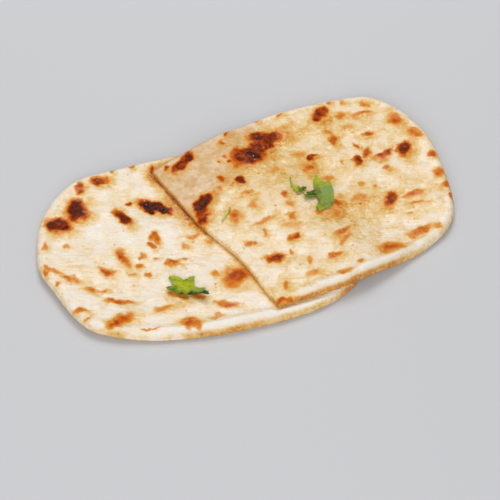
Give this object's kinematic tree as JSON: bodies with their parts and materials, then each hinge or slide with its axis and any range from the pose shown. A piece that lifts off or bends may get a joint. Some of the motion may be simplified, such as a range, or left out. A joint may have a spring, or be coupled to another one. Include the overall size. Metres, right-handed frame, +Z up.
{
  "type": "garlic naan",
  "caption": "Long oval garlic naan with oven blisters, cut across with one half lapped over the other, and coriander leaves on top.",
  "frame": {"origin": "on the surface the bread rests on, under the middle of the whole bread", "axes": "+X along the bread from its left half to its right half, +Y from the front rim to the back rim, +Z up"},
  "size_m": [0.2721, 0.1615, 0.0139],
  "materials": {
    "baked_dough": "matte",
    "leaf_green": "satin",
    "stem_green": "satin"
  },
  "bodies": {
    "root": {"naan_half_left": "baked_dough", "naan_half_right": "baked_dough", "coriander_leaf_left": "leaf_green", "coriander_leaf_right": "leaf_green", "coriander_sprig": "leaf_green", "coriander_stem": "stem_green"}
  },
  "joints": []
}
